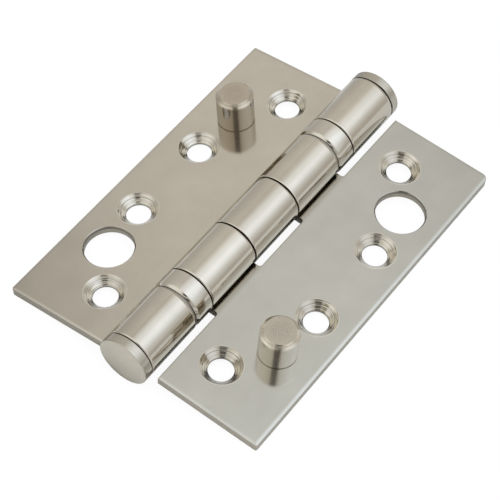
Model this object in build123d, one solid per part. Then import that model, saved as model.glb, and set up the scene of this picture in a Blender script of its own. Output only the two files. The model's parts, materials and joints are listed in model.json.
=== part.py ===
from build123d import *
import os
from math import acos, asin, atan2, cos, degrees, hypot, pi, radians, sin, tan

# A ball bearing butt hinge that lies open on a table, its countersunk faces up.
# The pin runs along Y, the left leaf is on the -X side and the right leaf on the +X side.
# z = 0 is the table. The barrel and both outer edges of the leaves touch it.
# A leaf is drawn flat, with the pin's axis at the origin and u counted along X, and then droops.

# Sheet, pin and barrel
leaf_length = 101.6        # both leaves, along the pin
open_width = 76.2          # over both leaves when they lie flat
sheet_t = 2.5              # thickness of the sheet that each leaf is cut and rolled from
pin_d = 9.0
pin_fit = 0.05             # radial room between the pin and the rolled knuckles
face_drop = 1.95           # from the pin's axis down to the countersunk face of a leaf
neck_r = 1.75              # inside radius of the bend where a leaf turns down into its knuckles
roll_gap = 1.65            # from the end of a roll down to the face of its own leaf
roll_end_r = 0.3           # rounding of the roll's outer end corner

# Knuckles and bearings along the pin
middle_knuckle = 17.8      # the third knuckle, on the left leaf
side_knuckle = 17.55       # the second and fourth knuckles, on the right leaf
knuckle_gap = 0.32         # between two knuckles that meet without a bearing
bearing_slot = 6.7         # room that a bearing fills between two knuckles
stack_shift = -0.3         # the middle knuckle sits this far towards the near end
knuckle_break = 0.2        # rounding of the knuckles' outer end edges
notch_clear = 1.55         # from the barrel to the edge of the notch beside it
notch_r = 0.9              # inside corners of the notches

# Leaf edges and corners
edge_r = 0.2               # rounding of the leaves' edges
corner_r = 0.5             # outer corners of the leaves
worn_corner_r = 1.8        # the right leaf's far corner, which is rounder than the others

# Screw holes, four in each leaf, in a zigzag
screw_d = 6.6
countersink_d = 10.8
countersink_angle = 90.0   # included angle
end_inset = 12.4           # from a leaf's ends to its first and last hole
inner_inset = 19.8         # from a leaf's outer edge to those two holes
outer_inset = 9.8          # from a leaf's outer edge to the two holes between them

# Security studs and the plain holes that they enter when the hinge is closed
stud_d = 10.0
stud_height = 9.5
stud_chamfer = 1.0
stud_foot_break = 0.3      # chamfer where a stud's shoulder meets its leaf
stud_inset = 11.6          # from the leaf's outer edge
stud_end_inset = 24.1      # from the leaf's end
tenon_d = 6.0              # the stud's tail, riveted in its leaf
rivet_flare = 0.8          # how far the riveted tail spreads into the leaf's back
stud_hole_clear = 1.5      # radial room round a stud in the hole of the other leaf
stud_hole_break = 0.3      # chamfer on both rims of that hole

# End caps
cap_t = 2.5
cap_gap = 0.3              # between a cap and its knuckle
cap_break = 0.25
spigot_l = 4.0             # the part of a cap that is pressed into the knuckle
spigot_lead = 0.4
pin_end_gap = 0.2          # between the pin and a cap's spigot
pin_lead = 0.5             # chamfer on the pin's ends

# Ball bearings
shell_wall = 0.55
shell_top = 1.2            # thickness of the shell's closed side
shell_break = 0.15
shell_boss_w = 1.1         # width of the raised ring by which the shell bears on its knuckle
shell_clear = 0.25         # the rest of the shell stands this far off that knuckle
skirt_gap = 0.7            # open gap under the shell, where the lower race shows
flange_t = 0.4             # the lower race's flange, which lies on the knuckle
flange_inset = 0.35        # the flange is this much smaller in radius than the barrel
race_gap = 0.7             # between the two races
race_fit = 0.1             # radial room between a race's bore and the pin
skirt_fit = 0.12           # radial room between the lower race and the shell
ball_d = 1.2
ball_fit = 0.02            # room round a ball in the grooves
ball_count = 10
cage_t = 0.45
cage_fit = 0.1             # radial room of the cage inside the shell and round the pin
pocket_fit = 0.05

# Worked out from the sizes above
pin_r = pin_d / 2
bore_r = pin_r + pin_fit
barrel_r = bore_r + sheet_t
leaf_u = open_width / 2
half_l = leaf_length / 2
back_drop = face_drop + sheet_t
notch_u = barrel_r + notch_clear
inner_row = leaf_u - inner_inset
outer_row = leaf_u - outer_inset
hole_pitch = (leaf_length - 2 * end_inset) / 3
stud_u = leaf_u - stud_inset
stud_y = half_l - stud_end_inset
race_bore_r = pin_r + race_fit
shell_bore_r = barrel_r - shell_wall
ball_r = ball_d / 2
boss_r = race_bore_r + shell_boss_w
pitch_r = (race_bore_r + shell_bore_r) / 2
groove_r = ball_r + ball_fit
race_t = (bearing_slot - race_gap) / 2
stud_hole_r = stud_d / 2 + stud_hole_clear
rivet_r = tenon_d / 2 + rivet_flare

# Both leaves droop until their outer bottom edges reach the barrel's lowest line.
reach_u = leaf_u - edge_r
reach_z = back_drop - edge_r
droop = degrees(asin((barrel_r - edge_r) / hypot(reach_u, reach_z)) - atan2(reach_z, reach_u))

# Where each knuckle and bearing starts and ends along Y
mid_start = stack_shift - middle_knuckle / 2
mid_end = stack_shift + middle_knuckle / 2
k2_end = mid_start - knuckle_gap
k2_start = k2_end - side_knuckle
k4_start = mid_end + knuckle_gap
k4_end = k4_start + side_knuckle
k1_end = k2_start - bearing_slot
k5_start = k4_end + bearing_slot
left_knuckles = [(-half_l, k1_end), (mid_start, mid_end), (k5_start, half_l)]
right_knuckles = [(k2_start, k2_end), (k4_start, k4_end)]

# Two places closer than this are the same place.
same = 1e-6


def ring_profile(*points):
    """A closed face from (radius, y) points, to be turned about the pin's axis."""
    return make_face(Polyline(*points, close=True))


def turned(profile):
    """A profile drawn with x as the radius and y along the pin, turned about Y at the pin's height."""
    return Pos(0, 0, barrel_r) * revolve(profile, Axis.Y, 360)


def bend_angle():
    """Angle at which the neck leaves the roll, so that it ends level with the leaf."""
    middle_of_roll = bore_r + sheet_t / 2
    middle_of_bend = neck_r + sheet_t / 2
    rise = middle_of_bend + face_drop + sheet_t / 2
    return acos(rise / (middle_of_roll + middle_of_bend))


def flat_start():
    """The u at which the neck ends and the flat leaf begins."""
    return (bore_r + sheet_t + neck_r) * sin(bend_angle())


def roll_section():
    """Section of the neck and the rolled knuckle, in the plane of u and z."""
    bend = bend_angle()
    flat_u = flat_start()
    end = asin((face_drop - roll_gap) / barrel_r)
    lip = (cos(end), -sin(end))
    leave = (sin(bend), -cos(bend))
    half = bend / 2
    centre_z = -(back_drop + neck_r)
    inner_mid = (flat_u - (neck_r + sheet_t) * sin(half), centre_z + (neck_r + sheet_t) * cos(half))
    outer_mid = (flat_u - neck_r * sin(half), centre_z + neck_r * cos(half))
    lines = [
        Line((notch_u, -face_drop), (flat_u, -face_drop)),
        ThreePointArc((flat_u, -face_drop), inner_mid, (bore_r * leave[0], bore_r * leave[1])),
        ThreePointArc((bore_r * leave[0], bore_r * leave[1]), (-bore_r, 0),
                      (bore_r * lip[0], bore_r * lip[1])),
        Line((bore_r * lip[0], bore_r * lip[1]), (barrel_r * lip[0], barrel_r * lip[1])),
        ThreePointArc((barrel_r * lip[0], barrel_r * lip[1]), (-barrel_r, 0),
                      (barrel_r * leave[0], barrel_r * leave[1])),
        ThreePointArc((barrel_r * leave[0], barrel_r * leave[1]), outer_mid, (flat_u, -back_drop)),
        Line((flat_u, -back_drop), (notch_u, -back_drop)),
        Line((notch_u, -back_drop), (notch_u, -face_drop)),
    ]
    section = make_face(Wire(lines))
    corner = section.vertices().sort_by_distance((barrel_r * lip[0], barrel_r * lip[1], 0))[0]
    return fillet(corner, roll_end_r)


def knuckle(start, end):
    """One rolled knuckle with its neck, between two places along the pin."""
    section = Plane(origin=(0, start, 0), x_dir=(1, 0, 0), z_dir=(0, -1, 0)) * roll_section()
    roll = extrude(section, amount=end - start, dir=(0, 1, 0))
    rims = [e for e in roll.edges().filter_by(GeomType.CIRCLE) if abs(e.radius - barrel_r) < same]
    return fillet(rims, knuckle_break)


def leaf_blank(knuckles, far_corner_r):
    """The flat part of a leaf: the plate with a tab for each knuckle."""
    flat_u = flat_start()
    outline = Pos((notch_u + leaf_u) / 2, 0) * Rectangle(leaf_u - notch_u, leaf_length)
    for start, end in knuckles:
        outline += Pos((flat_u + notch_u) / 2, (start + end) / 2) * Rectangle(notch_u - flat_u, end - start)
    inside = [v for v in outline.vertices() if abs(v.X - notch_u) < same and abs(v.Y) < half_l - same]
    outline = fillet(inside, notch_r)
    far = outline.vertices().sort_by_distance((leaf_u, half_l, 0))[0]
    outline = fillet(far, far_corner_r)
    near = outline.vertices().sort_by_distance((leaf_u, -half_l, 0))[0]
    outline = fillet(near, corner_r)
    plate = Pos(0, 0, -back_drop) * extrude(outline, amount=sheet_t)
    faces = plate.faces().sort_by(Axis.Z)
    rims = [e for e in faces[0].edges() + faces[-1].edges() if e.center().X > flat_u + same]
    return fillet(rims, edge_r)


def screw_tool(u, y):
    """What a countersunk screw hole takes out of a leaf."""
    cone_l = (countersink_d - screw_d) / 2 / tan(radians(countersink_angle / 2))
    through = Pos(u, y, -face_drop - sheet_t / 2) * Cylinder(screw_d / 2, 2 * sheet_t)
    cone = Pos(u, y, -face_drop - cone_l / 2) * Cone(screw_d / 2, countersink_d / 2, cone_l)
    return through + cone


def stud_hole_tool(u, y):
    """The plain hole for the other leaf's stud, with its rims broken on both sides."""
    hole = Pos(u, y, -face_drop - sheet_t / 2) * Cylinder(stud_hole_r, 2 * sheet_t)
    b = stud_hole_break
    upper = Pos(u, y, -face_drop - b / 2) * Cone(stud_hole_r, stud_hole_r + b, b)
    lower = Pos(u, y, -back_drop + b / 2) * Cone(stud_hole_r + b, stud_hole_r, b)
    return hole + upper + lower


def tenon(u, y):
    """The riveted tail of a stud, which also is the shape of its hole."""
    tail = Pos(u, y, -face_drop - sheet_t / 2) * Cylinder(tenon_d / 2, sheet_t)
    spread = Pos(u, y, -back_drop + rivet_flare / 2) * Cone(rivet_r, tenon_d / 2, rivet_flare)
    return tail + spread


def stud(y):
    """A security stud: a turned shoulder with both ends chamfered and a tail riveted in the leaf."""
    body = Pos(stud_u, y, -face_drop + stud_height / 2) * Cylinder(stud_d / 2, stud_height)
    body = chamfer(body.edges().sort_by(Axis.Z)[-1], stud_chamfer)
    body = chamfer(body.edges().sort_by(Axis.Z)[0], stud_foot_break)
    return body + tenon(stud_u, y)


def leaf(knuckles, stud_at, far_corner_r):
    """A whole leaf, flat: blank, rolled knuckles and holes, with the stud's seat at y = stud_at."""
    solid = leaf_blank(knuckles, far_corner_r)
    for start, end in knuckles:
        solid += knuckle(start, end)
    for pitches, row in ((-1.5, inner_row), (-0.5, outer_row), (0.5, outer_row), (1.5, inner_row)):
        solid -= screw_tool(row, pitches * hole_pitch)
    solid -= stud_hole_tool(stud_u, -stud_at)
    solid -= tenon(stud_u, stud_at)
    return solid


def set_down(shape, side):
    """Turns a flat leaf's piece to its droop, on the right (side 1) or mirrored to the left (-1)."""
    if side < 0:
        shape = mirror(shape, about=Plane.YZ)
    return Pos(0, 0, barrel_r) * Rot(0, side * droop, 0) * shape


def hinge_pin():
    """The plain round pin that all knuckles and bearings turn on."""
    length = leaf_length - 2 * (spigot_l - cap_gap + pin_end_gap)
    pin = Rot(90, 0, 0) * Cylinder(pin_r, length)
    pin = chamfer(pin.edges().filter_by(GeomType.CIRCLE), pin_lead)
    return Pos(0, 0, barrel_r) * pin


def end_cap(side):
    """A flat cap of the barrel's diameter with a spigot pressed into the end knuckle."""
    inner = half_l + cap_gap
    outer = inner + cap_t
    tip = inner - spigot_l
    points = [(0, tip), (bore_r - spigot_lead, tip), (bore_r, tip + spigot_lead), (bore_r, inner),
              (barrel_r, inner), (barrel_r, outer - cap_break), (barrel_r - cap_break, outer), (0, outer)]
    return turned(ring_profile(*[(r, side * y) for r, y in points]))


def race(start, way, flange):
    """A bearing race with its ball groove, lying on a knuckle or in the shell at y = start."""
    face = start + way * race_t
    if flange:
        outer = shell_bore_r - skirt_fit
        rim = barrel_r - flange_inset
        points = [(race_bore_r, start), (rim, start), (rim, start + way * flange_t),
                  (outer, start + way * flange_t), (outer, face), (race_bore_r, face)]
    else:
        low = start + way * shell_top
        points = [(race_bore_r, low), (shell_bore_r, low), (shell_bore_r, face), (race_bore_r, face)]
    groove = Pos(pitch_r, face + way * race_gap / 2) * Circle(groove_r)
    return turned(ring_profile(*points) - groove)


def bearing_shell(start, end):
    """The turned shell: a closed side that bears on its knuckle by a raised ring, and a skirt."""
    rim = start + skirt_gap
    back = end - shell_clear
    b = shell_break
    points = [(shell_bore_r, rim), (barrel_r - b, rim), (barrel_r, rim + b), (barrel_r, back - b),
              (barrel_r - b, back), (boss_r, back), (boss_r, end), (race_bore_r, end),
              (race_bore_r, end - shell_top), (shell_bore_r, end - shell_top)]
    return turned(ring_profile(*points))


def ball_places(start):
    """The centres of a bearing's balls, which share its middle plane."""
    y = start + bearing_slot / 2
    turns = [2 * pi * (i + 0.5) / ball_count for i in range(ball_count)]
    return [(pitch_r * sin(a), y, barrel_r + pitch_r * cos(a)) for a in turns]


def cage(start):
    """The flat ring between the races, with a pocket for each ball."""
    y = start + bearing_slot / 2
    outer = shell_bore_r - cage_fit
    inner = pin_r + cage_fit
    low, high = y - cage_t / 2, y + cage_t / 2
    ring = turned(ring_profile((inner, low), (outer, low), (outer, high), (inner, high)))
    for place in ball_places(start):
        ring -= Pos(*place) * Rot(90, 0, 0) * Cylinder(ball_r + pocket_fit, 2 * cage_t)
    return ring


def save(shape, name):
    """Writes one node's STEP file."""
    shape.label = name
    export_step(shape, f"parts/{name}.step")


def build():
    """Builds every piece and writes it under its own name."""
    os.makedirs("parts", exist_ok=True)
    save(set_down(leaf(left_knuckles, stud_y, corner_r), -1), "left_leaf")
    save(set_down(leaf(right_knuckles, -stud_y, worn_corner_r), 1), "right_leaf")
    save(set_down(stud(stud_y), -1), "left_stud")
    save(set_down(stud(-stud_y), 1), "right_stud")
    save(hinge_pin(), "hinge_pin")
    save(end_cap(-1), "near_cap")
    save(end_cap(1), "far_cap")
    for name, start, end in (("near", k1_end, k2_start), ("far", k4_end, k5_start)):
        save(race(start, 1, True), f"{name}_bearing_lower_race")
        save(race(end, -1, False), f"{name}_bearing_upper_race")
        save(bearing_shell(start, end), f"{name}_bearing_shell")
        save(cage(start), f"{name}_bearing_cage")
        for i, place in enumerate(ball_places(start)):
            save(Pos(*place) * Sphere(ball_r), f"{name}_bearing_ball_{i + 1}")


build()
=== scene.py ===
"""The looks of a ball bearing butt hinge that lies open on a pale table."""
import json
from math import cos, radians, sin, tan

import bmesh
import bpy
import numpy as np
from mathutils import Matrix, Vector


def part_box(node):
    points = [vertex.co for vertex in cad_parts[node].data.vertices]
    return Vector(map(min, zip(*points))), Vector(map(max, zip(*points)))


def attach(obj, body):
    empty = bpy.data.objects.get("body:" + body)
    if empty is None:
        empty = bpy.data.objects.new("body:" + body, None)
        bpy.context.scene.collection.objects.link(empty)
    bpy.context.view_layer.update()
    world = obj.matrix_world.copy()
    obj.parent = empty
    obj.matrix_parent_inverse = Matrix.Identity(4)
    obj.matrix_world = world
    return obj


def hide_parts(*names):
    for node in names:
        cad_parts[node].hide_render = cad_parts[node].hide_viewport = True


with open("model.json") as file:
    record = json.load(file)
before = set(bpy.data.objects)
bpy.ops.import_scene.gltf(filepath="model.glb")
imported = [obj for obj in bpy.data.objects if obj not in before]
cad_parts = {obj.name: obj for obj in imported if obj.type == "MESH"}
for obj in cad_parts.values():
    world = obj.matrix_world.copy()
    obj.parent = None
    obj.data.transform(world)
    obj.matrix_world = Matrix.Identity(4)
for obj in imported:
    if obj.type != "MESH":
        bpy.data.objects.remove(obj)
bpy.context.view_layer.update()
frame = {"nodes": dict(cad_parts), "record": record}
nodes = frame["nodes"]

# Leaves
# Each leaf is one piece of stainless sheet: cut out, rolled round the pin into its knuckles, and
# polished along the barrel to a soft satin. The sheared walls round its holes and edges stay duller
# and darker, and the polishing wheel rolls the faces off a little just inside the outer edges.

MM = 0.001
face_level = 1.25 * MM          # half the sheet: from its middle to the countersunk face
middle_drop = 3.2 * MM          # from the pin's axis down to the middle of the sheet
leaf_reach = 38.1 * MM          # from the pin's axis to a leaf's outer edge, along the leaf
barrel_r = (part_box("near_cap")[1][0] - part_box("near_cap")[0][0]) / 2
leaf_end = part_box("left_leaf")[1][1]
roll_off_width = 1.1 * MM       # how far in from a leaf's edges its faces roll off
roll_off_depth = 0.16 * MM
k1_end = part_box("near_bearing_lower_race")[0][1]
k2_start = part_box("near_bearing_shell")[1][1]
k4_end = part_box("far_bearing_lower_race")[0][1]
k5_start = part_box("far_bearing_shell")[1][1]
k3_ends = (-9.36 * MM, 8.76 * MM)
knuckle_ends = (-leaf_end, k1_end, k2_start, *k3_ends, k4_end, k5_start, leaf_end)
knuckle_break = 0.7 * MM        # how far in from its ends a knuckle is rounded by the polish
knuckle_break_depth = 0.28 * MM
knuckle_fade = (0.1 * MM, 0.35 * MM)    # past the barrel's radius, where the knuckles' polish ends
wall_fade = (1.0 * MM, 1.2 * MM)        # from the middle of the sheet, where its cut walls end
end_facing = (0.8, 0.95)                # how squarely a knuckle's cut end faces along the barrel
hole_margin = (0.3 * MM, 0.6 * MM)      # in from a leaf's outline, where a cut wall is a hole's
hole_shade_rise = 0.8 * MM              # above the sheet's middle, where a hole wall's painted shade is full
hole_shade_depth = 0.5
gap_shade_zone = (7.5 * MM, 9.5 * MM)    # from the pin's axis, where the painted shade by the barrel fades
pin_axis = (0.0, 0.0, barrel_r)

left_up = Vector(next(m["axis"] for m in frame["record"]["mounts"] if m["name"] == "left_inner_screws"))
leaf_up = {"left": left_up, "right": Vector((-left_up.x, 0, left_up.z))}
leaf_out = {"left": Vector((-left_up.z, 0, left_up.x)), "right": Vector((left_up.z, 0, left_up.x))}


def node_maker(tree):
    """Returns add(kind, operation, **socket values or links), which puts a node into a tree."""
    def add(kind, operation=None, **given):
        node = tree.nodes.new("ShaderNode" + kind)
        if operation:
            node.operation = operation
        for socket, value in given.items():
            target = node.inputs[int(socket[1:]) if socket[1:].isdigit() else socket.replace("_", " ")]
            if isinstance(value, bpy.types.NodeSocket):
                tree.links.new(value, target)
            else:
                target.default_value = value
        return node
    return add


def ramp(add, value, start, end, low, high):
    """A smooth step of a value from start to end, mapped from low to high."""
    step = add("MapRange", Value=value, From_Min=start, From_Max=end, To_Min=low, To_Max=high)
    step.interpolation_type = "SMOOTHSTEP"
    return step.outputs["Result"]


def new_group(name, inputs, outputs):
    """An empty node group with named sockets, and the ways to fill it."""
    group = bpy.data.node_groups.new(name, "ShaderNodeTree")
    for socket, kind, value in inputs:
        group.interface.new_socket(socket, in_out="INPUT", socket_type=kind).default_value = value
    for socket, kind in outputs:
        group.interface.new_socket(socket, in_out="OUTPUT", socket_type=kind)
    add = node_maker(group)
    return group, add, group.nodes.new("NodeGroupInput").outputs, group.nodes.new("NodeGroupOutput").inputs


clouds_per_metre = 110.0


def satin_group():
    """Satin steel: a grain stretched along one axis, over slow clouds of tone and gloss."""
    group, add, given, result = new_group(
        "satin_steel",
        (("Steel", "NodeSocketColor", (0.6, 0.56, 0.5, 1)), ("Clouds", "NodeSocketFloat", 0.05),
         ("Grain Size", "NodeSocketVector", (900, 900, 900)), ("Grain", "NodeSocketFloat", 0.02),
         ("Roughness", "NodeSocketFloat", 0.15), ("Roughness Spread", "NodeSocketFloat", 0.03)),
        (("Color", "NodeSocketColor"), ("Roughness", "NodeSocketFloat"), ("Height", "NodeSocketFloat")))
    link = group.links.new
    place = add("TexCoord").outputs["Object"]
    fine = add("VectorMath", "MULTIPLY", _0=place, _1=given["Grain Size"]).outputs[0]
    grain = add("TexNoise", Vector=fine, Scale=1.0, Detail=3.0).outputs["Fac"]
    clouds = add("TexNoise", Vector=place, Scale=clouds_per_metre, Detail=3.0).outputs["Fac"]
    cloudy = add("Math", "SUBTRACT", _0=clouds, _1=0.5).outputs[0]
    grainy = add("Math", "SUBTRACT", _0=grain, _1=0.5).outputs[0]
    tone = add("Math", "MULTIPLY_ADD", _0=cloudy, _1=given["Clouds"], _2=1.0).outputs[0]
    tone = add("Math", "MULTIPLY_ADD", _0=grainy, _1=given["Grain"], _2=tone).outputs[0]
    shade = add("VectorMath", "SCALE", _0=given["Steel"], Scale=tone).outputs[0]
    rough = add("Math", "MULTIPLY_ADD", _0=cloudy, _1=given["Roughness Spread"], _2=given["Roughness"])
    link(shade, result["Color"])
    link(rough.outputs[0], result["Roughness"])
    link(grain, result["Height"])
    return group


def leaf_group():
    """Masks of a leaf's rolled knuckles and cut walls, its painted shades and its surface's roll-off.
    The side shade is painted shade: the square of how far a place lies along the way given to it. The
    gap shade beside the barrel and the hole shade under the holes' upper rims are painted shade too.
    The roll-off is depth times (1 - distance to the edge / width) squared, at the outer edges and at
    the knuckles' ends."""
    group, add, given, result = new_group(
        "leaf_zones",
        (("Up", "NodeSocketVector", (0, 0, 1)), ("Out", "NodeSocketVector", (1, 0, 0)),
         ("Side Shade Way", "NodeSocketVector", (0, 0, 0)), ("Side Shade From", "NodeSocketFloat", 0)),
        (("Knuckles", "NodeSocketFloat"), ("Walls", "NodeSocketFloat"), ("Side Shade", "NodeSocketFloat"),
         ("Roll Off", "NodeSocketFloat"), ("Gap Shade", "NodeSocketFloat"),
         ("Hole Shade", "NodeSocketFloat")))
    link = group.links.new
    coord = add("TexCoord").outputs
    place = add("VectorMath", "SUBTRACT", _0=coord["Object"], _1=pin_axis).outputs[0]
    across = add("VectorMath", "MULTIPLY", _0=place, _1=(1, 0, 1)).outputs[0]
    radius = add("VectorMath", "LENGTH", _0=across).outputs["Value"]
    knuckles = ramp(add, radius, barrel_r + knuckle_fade[0], barrel_r + knuckle_fade[1], 1, 0)

    height = add("VectorMath", "DOT_PRODUCT", _0=place, _1=given["Up"]).outputs["Value"]
    height = add("Math", "ADD", _0=height, _1=middle_drop).outputs[0]
    inside = add("Math", "ABSOLUTE", _0=height).outputs[0]
    flat = add("Math", "SUBTRACT", _0=1.0, _1=knuckles).outputs[0]
    walls = ramp(add, inside, *wall_fade, 1, 0)
    walls = add("Math", "MULTIPLY", _0=walls, _1=flat).outputs[0]
    facing = add("VectorMath", "DOT_PRODUCT", _0=coord["Normal"], _1=(0, 1, 0)).outputs["Value"]
    ends = ramp(add, add("Math", "ABSOLUTE", _0=facing).outputs[0], *end_facing, 0, 1)
    ends = add("Math", "MULTIPLY", _0=ends, _1=knuckles).outputs[0]
    walls = add("Math", "MAXIMUM", _0=walls, _1=ends).outputs[0]

    out = add("VectorMath", "DOT_PRODUCT", _0=place, _1=given["Out"]).outputs["Value"]
    y = add("SeparateXYZ", Vector=place).outputs["Y"]
    along = add("Math", "ABSOLUTE", _0=y).outputs[0]
    to_side = add("Math", "SUBTRACT", _0=leaf_reach, _1=out).outputs[0]
    to_end = add("Math", "SUBTRACT", _0=leaf_end, _1=along).outputs[0]
    margin = add("Math", "MINIMUM", _0=to_side, _1=to_end).outputs[0]
    in_hole = add("Math", "MULTIPLY", _0=walls, _1=ramp(add, margin, *hole_margin, 0, 1)).outputs[0]
    # A painted shade on each hole's wall, deepest under its upper rim.
    near_top = ramp(add, height, 0, hole_shade_rise, 0, hole_shade_depth)
    hole_shade = add("Math", "MULTIPLY", _0=in_hole, _1=near_top).outputs[0]
    near_edge = add("MapRange", Value=margin, From_Max=roll_off_width, To_Min=1.0, To_Max=0.0)
    near_edge = near_edge.outputs["Result"]
    squared = add("Math", "MULTIPLY", _0=near_edge, _1=near_edge).outputs[0]
    roll_off = add("Math", "MULTIPLY", _0=squared, _1=-roll_off_depth).outputs[0]
    roll_off = add("Math", "MULTIPLY", _0=roll_off, _1=flat).outputs[0]

    to_seam = knuckle_break
    for seam in knuckle_ends:
        gap = add("Math", "ABSOLUTE", _0=add("Math", "SUBTRACT", _0=y, _1=seam).outputs[0]).outputs[0]
        to_seam = add("Math", "MINIMUM", _0=to_seam, _1=gap).outputs[0]
    near_seam = add("MapRange", Value=to_seam, From_Max=knuckle_break, To_Min=1.0, To_Max=0.0)
    near_seam = near_seam.outputs["Result"]
    squared = add("Math", "MULTIPLY", _0=near_seam, _1=near_seam).outputs[0]
    round_end = add("Math", "MULTIPLY", _0=squared, _1=-knuckle_break_depth).outputs[0]
    round_end = add("Math", "MULTIPLY", _0=round_end, _1=knuckles).outputs[0]
    roll_off = add("Math", "ADD", _0=roll_off, _1=round_end).outputs[0]

    # A painted shade on the face beside the barrel, full near it and gone further out.
    beside = ramp(add, out, *gap_shade_zone, 1, 0)
    beside = add("Math", "MULTIPLY", _0=beside, _1=flat).outputs[0]

    far_on = add("VectorMath", "DOT_PRODUCT", _0=place, _1=given["Side Shade Way"]).outputs["Value"]
    far_on = add("Math", "SUBTRACT", _0=far_on, _1=given["Side Shade From"]).outputs[0]
    far_on = add("Math", "MAXIMUM", _0=far_on, _1=0.0).outputs[0]
    side_shade = add("Math", "MULTIPLY", _0=far_on, _1=far_on).outputs[0]
    link(knuckles, result["Knuckles"])
    link(walls, result["Walls"])
    link(side_shade, result["Side Shade"])
    link(roll_off, result["Roll Off"])
    link(beside, result["Gap Shade"])
    link(hole_shade, result["Hole Shade"])
    return group


satin_steel = satin_group()
leaf_zones = leaf_group()


def steel(name, colour, roughness, grain_size=(900, 900, 900), grain=0.03, clouds=0.06, spread=0.04):
    """A plain steel material: the satin group on a metallic shader. Returns it and its group node."""
    material = bpy.data.materials.new(name)
    material.use_nodes = True
    tree = material.node_tree
    shader = tree.nodes["Principled BSDF"]
    shader.inputs["Metallic"].default_value = 1.0
    surface = tree.nodes.new("ShaderNodeGroup")
    surface.node_tree = satin_steel
    for socket, value in (("Steel", (*colour, 1)), ("Clouds", clouds), ("Grain Size", grain_size),
                          ("Grain", grain), ("Roughness", roughness), ("Roughness Spread", spread)):
        surface.inputs[socket].default_value = value
    tree.links.new(surface.outputs["Color"], shader.inputs["Base Color"])
    tree.links.new(surface.outputs["Roughness"], shader.inputs["Roughness"])
    return material, surface


def dress(name, material):
    """Gives one CAD node its material."""
    slots = nodes[name].material_slots
    for slot in slots:
        slot.material = material
    if not slots:
        nodes[name].data.materials.append(material)


knuckle_colour = (0.62, 0.57, 0.49)
wall_colour = (0.5, 0.455, 0.385)
streak_height = 0.0006 * MM
knuckle_streaks = 0.2           # the share of that height on the knuckles
along_barrel = (900, 60, 900)   # grains in a metre, across, along and up
face_roughness = 0.13
knuckle_roughness = 0.085
wall_roughness = 0.3


def leaf_steel(side, face_colour, side_shade_way, side_shade_from, side_shade_depth, gap_shade_tint):
    """A leaf's steel: the zones choose between the colours of its face, its knuckles and its walls,
    and the roll-off at its edges and the fine streaks of the polish bend its reflections. Beside the
    barrel the face is browner by a painted shade, and the side and hole shades darken it, painted too."""
    material, surface = steel(f"{side}_leaf_steel", face_colour, face_roughness, along_barrel, clouds=0.2)
    tree = material.node_tree
    add, link = node_maker(tree), tree.links.new
    zones = tree.nodes.new("ShaderNodeGroup")
    zones.node_tree = leaf_zones
    zones.inputs["Up"].default_value = leaf_up[side]
    zones.inputs["Out"].default_value = leaf_out[side]
    zones.inputs["Side Shade Way"].default_value = leaf_out[side] * side_shade_way[0] + Vector((0, side_shade_way[1], 0))
    zones.inputs["Side Shade From"].default_value = side_shade_from
    colour = (*face_colour, 1)
    rest = tuple(c * u for c, u in zip(face_colour, gap_shade_tint))
    for zone, other in (("Gap Shade", rest), ("Knuckles", knuckle_colour), ("Walls", wall_colour)):
        mix = add("Mix")
        mix.data_type = "RGBA"
        link(zones.outputs[zone], mix.inputs["Factor"])
        for socket, value in ((mix.inputs[6], colour), (mix.inputs[7], (*other, 1))):
            if isinstance(value, bpy.types.NodeSocket):
                link(value, socket)
            else:
                socket.default_value = value
        colour = mix.outputs[2]
    shine = add("Math", "MULTIPLY_ADD", _0=zones.outputs["Side Shade"], _1=-side_shade_depth, _2=1.0).outputs[0]
    shine = add("Math", "SUBTRACT", _0=shine, _1=zones.outputs["Hole Shade"]).outputs[0]
    link(add("VectorMath", "SCALE", _0=colour, Scale=shine).outputs[0], surface.inputs["Steel"])
    rough = ramp(add, zones.outputs["Knuckles"], 0, 1, face_roughness, knuckle_roughness)
    wall_rough = ramp(add, zones.outputs["Walls"], 0, 1, 0, wall_roughness)
    rough = add("Math", "MAXIMUM", _0=rough, _1=wall_rough).outputs[0]
    link(rough, surface.inputs["Roughness"])
    streaks = ramp(add, zones.outputs["Knuckles"], 0, 1, streak_height, knuckle_streaks * streak_height)
    level = add("Math", "MULTIPLY_ADD",
                _0=surface.outputs["Height"], _1=streaks, _2=zones.outputs["Roll Off"])
    bump = add("Bump", Height=level.outputs[0], Strength=1.0, Distance=1.0)
    link(bump.outputs["Normal"], tree.nodes["Principled BSDF"].inputs["Normal"])
    return material


# Each face's side shade is painted shade, darker towards one outer corner; beside the right leaf's barrel
# the face is browner, also painted shade.
dress("left_leaf", leaf_steel(
    "left", (0.635, 0.585, 0.505), side_shade_way=(25, -20.8), side_shade_from=0.3, side_shade_depth=0.1,
    gap_shade_tint=(1, 1, 1)))
dress("right_leaf", leaf_steel(
    "right", (0.61, 0.6, 0.555), side_shade_way=(16.7, 20.8), side_shade_from=0.2, side_shade_depth=0.06,
    gap_shade_tint=(0.66, 0.62, 0.56)))

# Countersinks
# A cutter turned each screw hole's cone after the blank was cut. It stopped once on its way, so a
# groove and fine rings run round the cone. The ring of steel modelled here is that cut skin.

sink_rim_r = 5.4 * MM
sink_hole_r = 3.3 * MM
sheet = 2 * face_level
skin_proud = 0.026 * MM         # how far the cut skin stands off the leaf's own cone
stop_range = (0.95, 1.25)       # mm down the cone, between which the cutter stopped
groove_width = 0.1 * MM
groove_depth = 0.014 * MM
ridge_below = 0.22 * MM
ridge_width = 0.16 * MM
ridge_height = 0.008 * MM
ring_waves = ((0.95, 0.006), (0.52, 0.0035), (0.31, 0.0018))    # pitch and height in mm
edge_shade_width = 0.28 * MM           # the last of the cone above the hole, which has a painted shade


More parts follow.
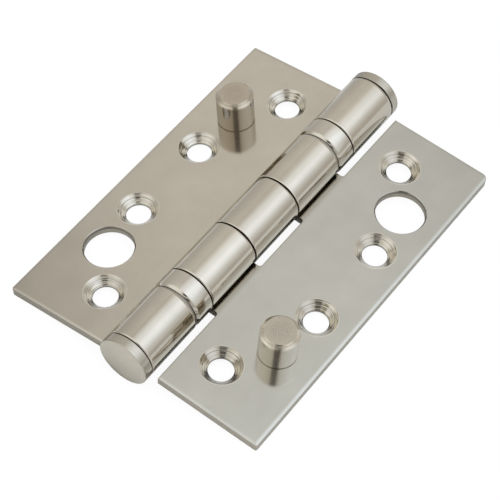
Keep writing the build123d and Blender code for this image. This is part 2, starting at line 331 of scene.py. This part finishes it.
def revolve(radius, height, centre, axis, turns, tone=None, closed=False):
    """Vertices, faces and tones of a turned surface. A point is centre + height * axis + radius
    times the unit vector at its angle. Radius and height are arrays of (profile, angle)."""
    axis = Vector(axis).normalized()
    first = axis.orthogonal().normalized()
    second = axis.cross(first)
    angle = np.linspace(0, 2 * np.pi, turns, endpoint=False)
    around = np.outer(np.cos(angle), first) + np.outer(np.sin(angle), second)
    radius = np.broadcast_to(np.atleast_2d(radius.T).T, (len(radius), turns))
    height = np.broadcast_to(np.atleast_2d(height.T).T, (len(height), turns))
    points = np.array(centre) + height[..., None] * np.array(axis) + radius[..., None] * around
    rows, columns = np.meshgrid(np.arange(len(radius) - (not closed)), np.arange(turns), indexing="ij")
    up, right = (rows + 1) % len(radius), (columns + 1) % turns
    quads = np.stack([rows * turns + columns, rows * turns + right,
                      up * turns + right, up * turns + columns], -1)
    tone = np.ones(radius.shape) if tone is None else np.broadcast_to(tone, radius.shape)
    return points.reshape(-1, 3), quads.reshape(-1, 4), tone.reshape(-1)


def turned_piece(name, parts, material, body, replaced=None):
    """One object from turned surfaces, with closed poles, sharp corners and its tone as an attribute."""
    points = np.concatenate([p for p, _, _ in parts])
    starts = np.cumsum([0] + [len(p) for p, _, _ in parts[:-1]])
    quads = np.concatenate([q + start for start, (_, q, _) in zip(starts, parts)])
    mesh = bpy.data.meshes.new(name)
    mesh.from_pydata(points.tolist(), [], quads.tolist())
    mesh.attributes.new("tone", "FLOAT", "POINT").data.foreach_set(
        "value", np.concatenate([t for _, _, t in parts]).astype(np.float32))
    work = bmesh.new()
    work.from_mesh(mesh)
    bmesh.ops.remove_doubles(work, verts=work.verts, dist=1e-7)
    work.to_mesh(mesh)
    work.free()
    mesh.polygons.foreach_set("use_smooth", [True] * len(mesh.polygons))
    mesh.set_sharp_from_angle(angle=radians(25))
    mesh.materials.append(material)
    piece = bpy.data.objects.new(name, mesh)
    bpy.context.scene.collection.objects.link(piece)
    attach(piece, body)
    if replaced:
        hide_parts(replaced)
    return piece


def turned_steel(name, colour, roughness, tone_depth, grain_size=(900, 900, 900), grain=0.04, clouds=0.06):
    """Turned steel: the satin steel, darker where the tone attribute of the turned surface is low."""
    material, surface = steel(name, colour, roughness, grain_size, grain, clouds)
    tree = material.node_tree
    add = node_maker(tree)
    # The tone attribute holds the painted shade and light of the countersinks, studs and caps.
    tone = tree.nodes.new("ShaderNodeAttribute")
    tone.attribute_name = "tone"
    depth = add("MapRange", Value=tone.outputs["Fac"], To_Min=1 - tone_depth, To_Max=1.0)
    shade = add("VectorMath", "SCALE", _0=colour, Scale=depth.outputs["Result"])
    tree.links.new(shade.outputs[0], surface.inputs["Steel"])
    return material


def countersink(centre, axis, rng):
    """The skin of one countersink: its cone, its short straight hole, and a thin rim. Where the
    cutter stopped once and went on, a groove stands a third of the way down: a hollow of Gaussian
    form with a low ridge under it. Fine rings are a sum of sines of the distance down the cone."""
    slope = np.linspace(0, 1, 150)
    down = slope * np.sqrt(2) * (sink_rim_r - sink_hole_r)
    stop = rng.uniform(*stop_range) * MM
    groove = np.exp(-(((down - stop) / groove_width) ** 2))
    ridge = np.exp(-(((down - stop - ridge_below) / ridge_width) ** 2))
    rings = sum(
        depth * MM * np.sin(2 * np.pi * down / (pitch * MM) + rng.uniform(0, 6))
        for pitch, depth in ring_waves)
    lift = (skin_proud + rings + ridge_height * ridge - groove_depth * groove) / np.sqrt(2)
    cone_r = sink_rim_r - slope * (sink_rim_r - sink_hole_r) - lift
    cone_h = -slope * (sink_rim_r - sink_hole_r) + lift
    land = np.array([(sink_hole_r - 0.012 * MM, -sheet + 0.05 * MM),
                     (sink_hole_r + 0.05 * MM, -sheet + 0.06 * MM),
                     (sink_rim_r + 0.04 * MM, -0.12 * MM), (sink_rim_r + 0.22 * MM, -0.04 * MM),
                     (sink_rim_r + 0.2 * MM, 0.008 * MM), (sink_rim_r + 0.05 * MM, 0.022 * MM)])
    radius = np.concatenate([cone_r, land[:, 0]])
    height = np.concatenate([cone_h, land[:, 1]])
    # The tone is painted shade and light: darker in the groove, over the last of the cone and down the
    # short hole, lighter on the ridge and on the rings' crests.
    edge = np.clip((down[-1] - down) / edge_shade_width, 0, 1)
    cone_shade_tone = (0.9 + 12 * rings / MM - 0.75 * groove + 0.1 * ridge) * edge
    tone = np.concatenate([np.clip(cone_shade_tone, 0, 1), [0, 0, 1, 1, 1, 1]])
    return revolve(radius, height, centre, axis, 96, tone[:, None], closed=True)


sink_steel = turned_steel("countersink_steel", (0.7, 0.655, 0.575), roughness=0.13, tone_depth=0.5)
for side, body in (("left", "left_side"), ("right", "right_side")):
    rng = np.random.default_rng(7 if side == "left" else 11)
    skins = []
    for mount in frame["record"]["mounts"]:
        if not mount["name"].startswith(side) or "screws" not in mount["name"]:
            continue
        half_pitch = mount["dims"]["pcd_mm"] * MM / 2
        for way in (-1, 1):
            on_face = Vector(mount["pos_m"]) + Vector((0, way * half_pitch, 0))
            level = (on_face - Vector(pin_axis)).dot(leaf_up[side]) + middle_drop
            middle = on_face + leaf_up[side] * (face_level - level)
            skins.append(countersink(middle, leaf_up[side], rng))
    turned_piece(f"{side}_countersinks", skins, sink_steel, body)

# Security studs
# Each stud is turned from bar: a cylinder with a chamfered top that keeps the spiral of the facing
# cut, a broken corner at its foot, and a tail that is riveted through its leaf.

stud_r = 5.0 * MM
stud_height = 9.5 * MM
stud_chamfer = 1.0 * MM
foot_break = 0.3 * MM
tail_r = 3.0 * MM
rivet_r = 3.8 * MM
rivet_depth = 0.8 * MM
chamfer_shape = ((0, 0), (0.35, 0.33), (0.45, 0.41), (0.55, 0.55), (1, 1))    # in and up, as shares of it
spiral_pitch = 0.62 * MM
spiral_height = 0.005 * MM
spiral_shade = 0.09
top_shade = 0.67


def stud(side, colour, chamfer_shade_tone, wall_shade_tone):
    """One stud: profile from the riveted end up its side to the middle of its top. The spiral is the
    cosine of 2 pi * radius / pitch - angle. The tones of the chamfer, the side and the top are painted
    shade."""
    turns = 160
    mount = next(m for m in frame["record"]["mounts"] if m["name"] == f"{side}_stud_end")
    axis = Vector(mount["axis"])
    base = Vector(mount["pos_m"]) - axis * (foot_break + mount["dims"]["length_mm"] * MM / 2)
    foot = [(0, 0.06 * MM - sheet), (0.7 * tail_r, 0.03 * MM - sheet), (0.95 * rivet_r, -sheet),
            (rivet_r, 0.02 * MM - sheet), (tail_r, rivet_depth - sheet), (tail_r, 0),
            (stud_r - foot_break, 0), (stud_r, foot_break)]
    walls = [(stud_r, h) for h in np.linspace(foot_break, stud_height - stud_chamfer, 12)[1:]]
    edge = [(stud_r - a * stud_chamfer, stud_height - stud_chamfer + b * stud_chamfer)
            for a, b in chamfer_shape]
    profile = np.array(foot + walls + edge)
    top_r = np.linspace(stud_r - stud_chamfer, 0, 80)[1:]
    angle = np.linspace(0, 2 * np.pi, turns, endpoint=False)
    fade = np.clip((0.66 * stud_r - top_r) / (0.3 * stud_r), 0, 1) * np.clip(top_r / (0.06 * stud_r), 0, 1)
    fade = fade[:, None]
    wave = np.cos(2 * np.pi * top_r[:, None] / spiral_pitch - angle[None, :])
    radius = np.concatenate([np.repeat(profile[:, :1], turns, 1), np.repeat(top_r[:, None], turns, 1)])
    top_h = stud_height + spiral_height * wave * fade
    height = np.concatenate([np.repeat(profile[:, 1:], turns, 1), top_h])
    stud_side_shade = np.where(profile[:, 1] < stud_height - 1.01 * stud_chamfer, wall_shade_tone, chamfer_shade_tone)
    top_tone = top_shade - spiral_shade * fade * (1 - wave)
    tone = np.concatenate([np.repeat(stud_side_shade[:, None], turns, 1), top_tone])
    parts = [revolve(radius, height, base, axis, turns, tone)]
    bar = turned_steel(f"{side}_stud_steel", colour, roughness=0.18, tone_depth=0.65,
                       grain_size=(1400, 1400, 220), grain=0.2, clouds=0.2)
    turned_piece(f"{side}_stud_turned", parts, bar, f"{side}_side", f"{side}_stud")


# The chamfer and side tones of the studs are painted shade, deeper on the left stud.
stud("left", (0.7, 0.61, 0.5), chamfer_shade_tone=0.65, wall_shade_tone=0.3)
stud("right", (0.71, 0.645, 0.545), chamfer_shade_tone=1.0, wall_shade_tone=0.62)

# End caps
# Flat discs of the barrel's diameter, turned from bar and pressed in by a spigot. Their rims keep
# the lines of the turning and are rougher than the polished knuckles beside them; a painted shade
# makes them darker than their faces, most on their left sides.

cap_break = 0.25 * MM
spigot_tip = 3.7 * MM
wide_line = 0.62 * MM           # pitches of the turning lines
fine_line = 0.29 * MM
line_height = 0.004 * MM
# The rim's tone below its face: a painted shade.
band_shade_tone = 0.62


def cap(end, way, seam, left_shade):
    """One turned cap: profile from the tip of its spigot over its rim to the middle of its face.
    The rim carries two sines of the height as turning lines. Its tone is painted shade: darker than the
    face, along the lines, and more on the rim's left side."""
    low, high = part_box(f"{end}_cap")
    face = max(abs(low[1]), abs(high[1])) - leaf_end
    spigot_r = barrel_r - sheet
    band_h = np.linspace(seam + 0.1 * MM, face - cap_break, 40)
    lines = 0.6 * np.sin(2 * np.pi * band_h / wide_line) + 0.4 * np.sin(2 * np.pi * band_h / fine_line + 1)
    inner = [(0, -spigot_tip), (spigot_r, -spigot_tip), (spigot_r, seam), (barrel_r - 0.1 * MM, seam)]
    outer = [(barrel_r - 0.3 * cap_break, face - 0.3 * cap_break), (barrel_r - cap_break, face), (0, face)]
    band_r = barrel_r + line_height * (lines - 1)
    radius = np.concatenate([[r for r, _ in inner], band_r, [r for r, _ in outer]])
    height = np.concatenate([[h for _, h in inner], band_h, [h for _, h in outer]])
    tone = np.concatenate([[0.3] * len(inner), band_shade_tone + 0.12 * lines, [0.45, 0.9, 1.0]])
    points, quads, tones = revolve(
        radius, height, (0, way * leaf_end, barrel_r), (0, way, 0), 160, tone[:, None])
    on_band = tones < 0.85
    leftness = np.clip((-points[:, 0] / barrel_r - 0.5) / 0.25, 0, 1)
    tones = tones - left_shade * leftness * on_band
    parts = [(points, quads, tones)]
    turned_piece(f"{end}_cap_turned", parts, cap_steel, "left_side", f"{end}_cap")


cap_steel = turned_steel("cap_steel", (0.67, 0.62, 0.53), roughness=0.22, tone_depth=0.6,
                         grain_size=(700, 700, 700), grain=0.1, clouds=0.25)
# Each cap's last value is the depth of the painted shade on its rim's left side.
cap("near", way=-1, seam=0.14 * MM, left_shade=0.25)
cap("far", way=1, seam=0.3 * MM, left_shade=0.55)

# Ball bearings
# A turned shell with a rounded rim closes over ten balls in a cage between two grooved races. The
# lower race's flange lies on the knuckle and shows as a grey line in the open gap under the shell.

skirt_r = 6.5 * MM
rim_drop = 0.42 * MM
rim_length = 0.7 * MM
rim_round = 0.05 * MM
back_break = 0.15 * MM
boss_r = 5.7 * MM
boss_height = 0.25 * MM
bore_r = 4.6 * MM
plate = 1.2 * MM


def bearing_shell(end, material, body):
    """One turned shell: its profile runs up the long bevel of the rim, along the side, over the
    boss, and back down inside."""
    low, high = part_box(f"{end}_bearing_shell")
    length = high[1] - low[1]
    rim = [(barrel_r - rim_drop - rim_round, 0), (barrel_r - rim_drop, rim_round),
           (barrel_r - rim_round, rim_length - rim_round), (barrel_r, rim_length + 2 * rim_round)]
    side_end = length - boss_height
    rest = [(barrel_r, side_end - back_break), (barrel_r - back_break, side_end), (boss_r, side_end),
            (boss_r, length), (bore_r, length), (bore_r, length - plate), (skirt_r, length - plate),
            (skirt_r, 0)]
    profile = np.array(rim + rest)
    shape = revolve(profile[:, 0], profile[:, 1], (0, low[1], barrel_r), (0, 1, 0), 192, closed=True)
    turned_piece(f"{end}_shell_turned", [shape], material, body, f"{end}_bearing_shell")


shell_steel = turned_steel("shell_steel", (0.62, 0.575, 0.5), roughness=0.1, tone_depth=0.0,
                           grain_size=(700, 90, 700), grain=0.04)
flange_steel, _ = steel("flange_steel", (0.3, 0.275, 0.24), roughness=0.35)
race_steel, _ = steel("race_steel", (0.1, 0.095, 0.085), roughness=0.4)
ball_steel, _ = steel("ball_steel", (0.6, 0.6, 0.6), roughness=0.06)
for end, body in (("near", "right_side"), ("far", "left_side")):
    bearing_shell(end, shell_steel, body)
    dress(f"{end}_bearing_shell", shell_steel)
    dress(f"{end}_bearing_lower_race", flange_steel)
    for part in ("upper_race", "cage"):
        dress(f"{end}_bearing_{part}", race_steel)
for name in nodes:
    if "_bearing_ball_" in name:
        dress(name, ball_steel)

# Hinge pin
# A plain round steel pin on which all the knuckles and bearings are threaded, kept in by the caps'
# spigots. It only shows, oiled and dark, at the bottom of the seams.

pin_steel, _ = steel("pin_steel", (0.12, 0.115, 0.1), roughness=0.35)
dress("hinge_pin", pin_steel)

# Table
# A plain white matt table top with no edge in view. It is white where the camera looks straight at
# it, apart from the hinge's own faint shadow. As the steel mirrors it, it has its full shadow and a
# painted shade on its far left side, which stands further from the lamps.

table_half = 1.5
table_drop = 0.02 * MM
table_tone = 0.9
shaded_tone = 0.68
shaded_way = (-0.7, 0.7, 0)
shaded_from = (50 * MM, 90 * MM)
seen_tone = 0.1
seen_glow = 0.93

table_mesh = bpy.data.meshes.new("table")
table_mesh.from_pydata(
    [(x * table_half, y * table_half, -table_drop) for x, y in ((-1, -1), (1, -1), (1, 1), (-1, 1))],
    [], [(0, 1, 2, 3)])
table = bpy.data.objects.new("table", table_mesh)
bpy.context.scene.collection.objects.link(table)

table_white = bpy.data.materials.new("table_white")
table_white.use_nodes = True
tree = table_white.node_tree
tree.nodes.clear()
add = node_maker(tree)
seen = add("LightPath").outputs["Is Camera Ray"]
place = add("TexCoord").outputs["Object"]
far_left = add("VectorMath", "DOT_PRODUCT", _0=place, _1=shaded_way).outputs["Value"]
# A painted shade on the table's far left, which only the steel's reflections show.
shaded = ramp(add, far_left, *shaded_from, table_tone, shaded_tone)
tone = add("MapRange", Value=seen, To_Min=shaded, To_Max=seen_tone).outputs["Result"]
glow = add("MapRange", Value=seen, To_Min=0.0, To_Max=seen_glow).outputs["Result"]
matt = add("BsdfDiffuse", Color=tone).outputs[0]
light = add("Emission", Color=(1, 1, 1, 1), Strength=glow).outputs[0]
add("OutputMaterial", Surface=add("AddShader", _0=matt, _1=light).outputs[0])
table_mesh.materials.append(table_white)

# Studio
# A pale tent that is dimmer towards its floor, with a wide cool lamp high on the right, its weaker
# side lights, and a soft glow from the left. Two narrow black flags hang by the camera, one above
# the other, and show as the dark lines in the studs and countersinks.

room = bpy.data.worlds.new("studio")
bpy.context.scene.world = room
room.use_nodes = True
tree = room.node_tree
tree.nodes.clear()
add = node_maker(tree)
facing = add("TexCoord").outputs["Generated"]


def unit(azimuth, elevation):
    """The direction of a place in the room: azimuth 0 is +Y and 90 is +X, elevation from the table."""
    a, e = radians(azimuth), radians(elevation)
    return (sin(a) * cos(e), cos(a) * cos(e), sin(e))


def towards(direction):
    """How squarely a ray faces a direction, as a dot product."""
    return add("VectorMath", "DOT_PRODUCT", _0=facing, _1=direction).outputs["Value"]


def soft_light(azimuth, elevation, faded, full, strength, colour):
    """A round soft light: full strength within one angle of its middle, none beyond the other."""
    middle = towards(unit(azimuth, elevation))
    level = ramp(add, middle, cos(radians(faded)), cos(radians(full)), 0, strength)
    return add("VectorMath", "SCALE", _0=colour, Scale=level).outputs[0]


tent_floor, tent_top = 0.543, 0.722
tent_colour = (1.0, 0.985, 0.935)
far_gain = 1.1
lamps = (                       # azimuth, elevation, faded, full, strength, colour
    (60.7, 63.1, 40.8, 1.0, 0.522, (0.84, 1.0, 1.22)),
    (80.7, 42.2, 38.8, 22.5, 0.24, (0.84, 1.0, 1.22)),
    (92, 17, 30, 8, 0.13, (0.9, 1.0, 1.12)),
    (222, 22, 30, 10, 0.08, (0.95, 1.0, 1.0)),
    (221, 54.3, 45.3, 4.3, 0.425, (0.93, 1.0, 1.02)))

tent = ramp(add, towards((0, 0, 1)), 0.0, 1.0, tent_floor, tent_top)
far_side = ramp(add, towards((0, 1, 0)), 0.2, 0.7, 1.0, far_gain)
tent = add("Math", "MULTIPLY", _0=tent, _1=far_side).outputs[0]
light = add("VectorMath", "SCALE", _0=tent_colour, Scale=tent).outputs[0]
for lamp in lamps:
    light = add("VectorMath", "ADD", _0=light, _1=soft_light(*lamp)).outputs[0]

flag_azimuth = 146.5
flag_sides = (13, 21)           # degrees to each side of it, from full dark to none
flag_shade = 0.14
flag_foot = (19, 26)            # elevations between which the lower flag begins
flag_top = (57, 66)             # elevations between which the upper flag ends
gap_elevation = 41.5
gap_reach = (0.05, 0.09)        # in sines of the elevation, from all light to none
beside = add("Math", "ABSOLUTE", _0=towards(unit(flag_azimuth + 90, 0))).outputs[0]
ahead = add("Math", "MAXIMUM", _0=towards(unit(flag_azimuth, 0)), _1=0.01).outputs[0]
spread = add("Math", "DIVIDE", _0=beside, _1=ahead).outputs[0]
dark = ramp(add, spread, tan(radians(flag_sides[0])), tan(radians(flag_sides[1])), flag_shade, 1)
up = towards((0, 0, 1))
over = ramp(add, up, sin(radians(flag_top[0])), sin(radians(flag_top[1])), 0, 1)
under = ramp(add, up, sin(radians(flag_foot[0])), sin(radians(flag_foot[1])), 1, 0)
from_gap = add("Math", "SUBTRACT", _0=up, _1=sin(radians(gap_elevation))).outputs[0]
from_gap = add("Math", "ABSOLUTE", _0=from_gap).outputs[0]
between = ramp(add, from_gap, *gap_reach, 1, 0)
for bright in (over, under, between):
    dark = add("Math", "MAXIMUM", _0=dark, _1=bright).outputs[0]
light = add("VectorMath", "SCALE", _0=light, Scale=dark).outputs[0]

sky = add("Background", Color=light, Strength=1.0).outputs[0]
white = add("Background", Color=(1, 1, 1, 1), Strength=1.0).outputs[0]
shown = add("MixShader", _0=add("LightPath").outputs["Is Camera Ray"], _1=sky, _2=white).outputs[0]
add("OutputWorld", Surface=shown)

# Camera
# It stands where the photograph was taken from: to the right of the barrel's near end, looking
# down at the open hinge through a long lens.

aim = Vector((4.38, -8.46, 7.09)) * MM
distance = 471.1 * MM
azimuth, elevation, roll = 35.9, 53.35, 0.9

turn, tilt = radians(azimuth), radians(elevation)
back = Vector((sin(turn) * cos(tilt), -cos(turn) * cos(tilt), sin(tilt)))
camera = bpy.data.objects.new("camera", bpy.data.cameras.new("camera"))
bpy.context.scene.collection.objects.link(camera)
camera.data.lens = 136.0
camera.data.sensor_width = 36.0
camera.data.clip_start = 0.01
camera.location = aim + back * distance
camera.rotation_mode = "QUATERNION"
level_view = (-back).to_track_quat("-Z", "Y")
camera.rotation_quaternion = level_view @ Matrix.Rotation(radians(roll), 3, "Z").to_quaternion()
bpy.context.scene.camera = camera
bpy.context.scene.view_settings.view_transform = "Standard"
